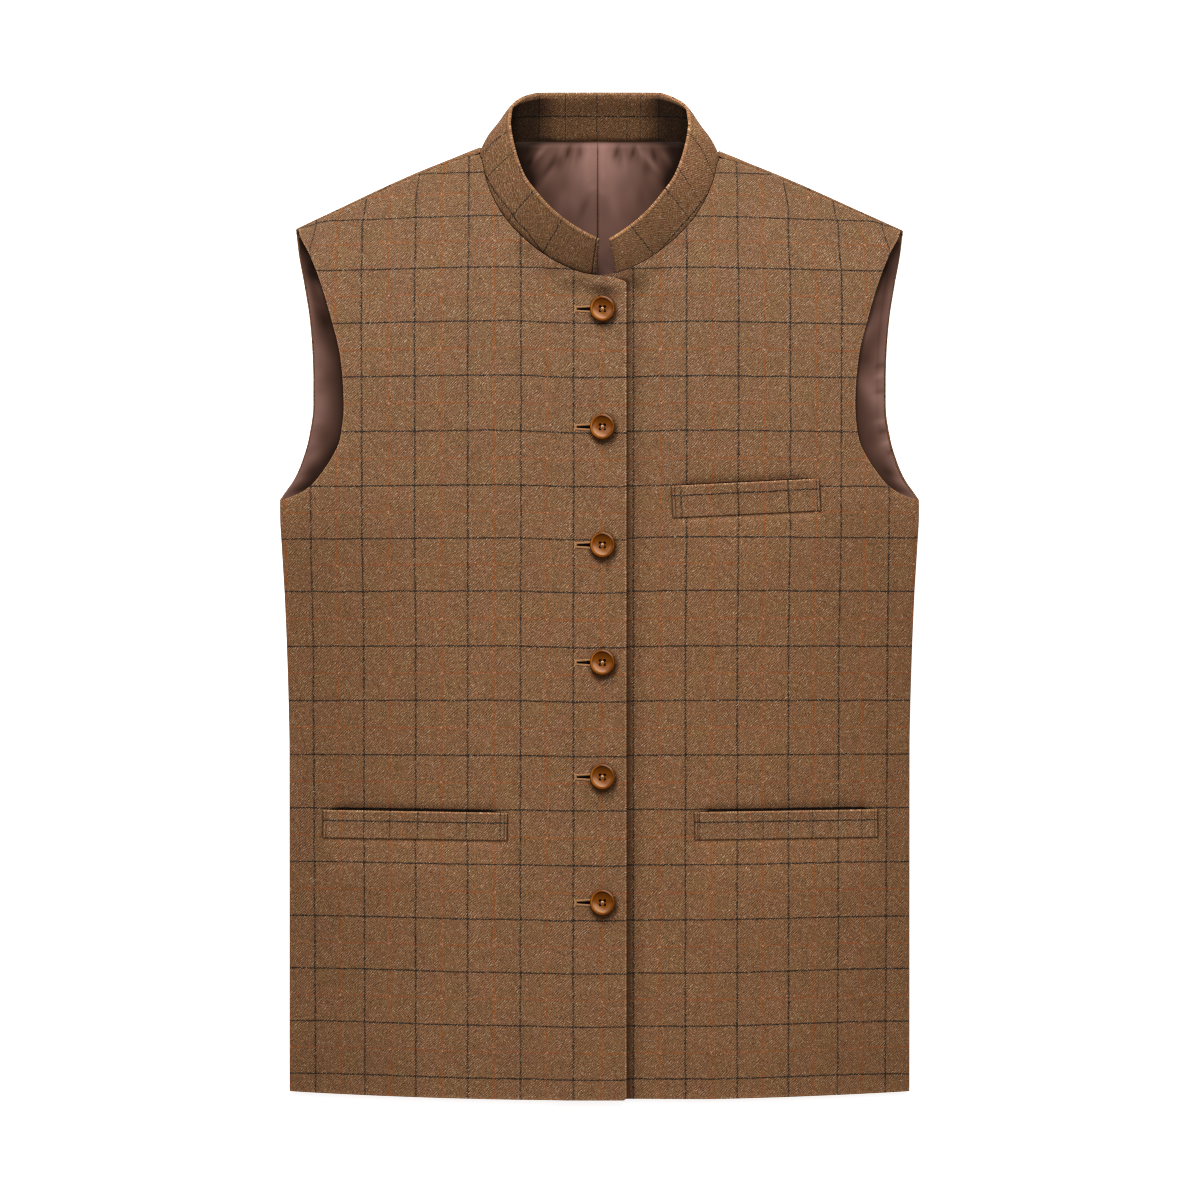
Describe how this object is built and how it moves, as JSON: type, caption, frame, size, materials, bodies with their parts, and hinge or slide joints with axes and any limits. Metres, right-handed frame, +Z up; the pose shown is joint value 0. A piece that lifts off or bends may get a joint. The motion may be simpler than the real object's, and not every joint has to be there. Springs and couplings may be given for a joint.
{
  "type": "band-collar waistcoat",
  "caption": "Sleeveless tweed waistcoat with a standing band collar, a buttoned front, a chest welt and lower pocket welts, laid flat on its back.",
  "frame": {"origin": "under the middle of the garment's outline, on the surface that it lies on", "axes": "+X towards the wearer's left, +Y from the hem to the collar, +Z up from the surface"},
  "size_m": [0.4866, 0.7668, 0.0291],
  "materials": {
    "tweed": "brown herringbone wool tweed, matt, with a dark blue windowpane and a rust overcheck",
    "tweed_collar": "the same tweed on the band collar, with the check turned to the band's own grain",
    "satin_lining": "mauve-brown satin lining with a soft sheen",
    "button_brown": "polished warm brown, a little mottled"
  },
  "bodies": {
    "root": {"back": "tweed", "back_lining_right": "satin_lining", "back_lining_left": "satin_lining", "front_left": "tweed", "front_right": "tweed", "collar": "tweed_collar", "chest_welt": "tweed", "lower_welt_right": "tweed", "lower_welt_left": "tweed", "button_1": "button_brown", "button_2": "button_brown", "button_3": "button_brown", "button_4": "button_brown", "button_5": "button_brown", "button_6": "button_brown"}
  },
  "joints": []
}
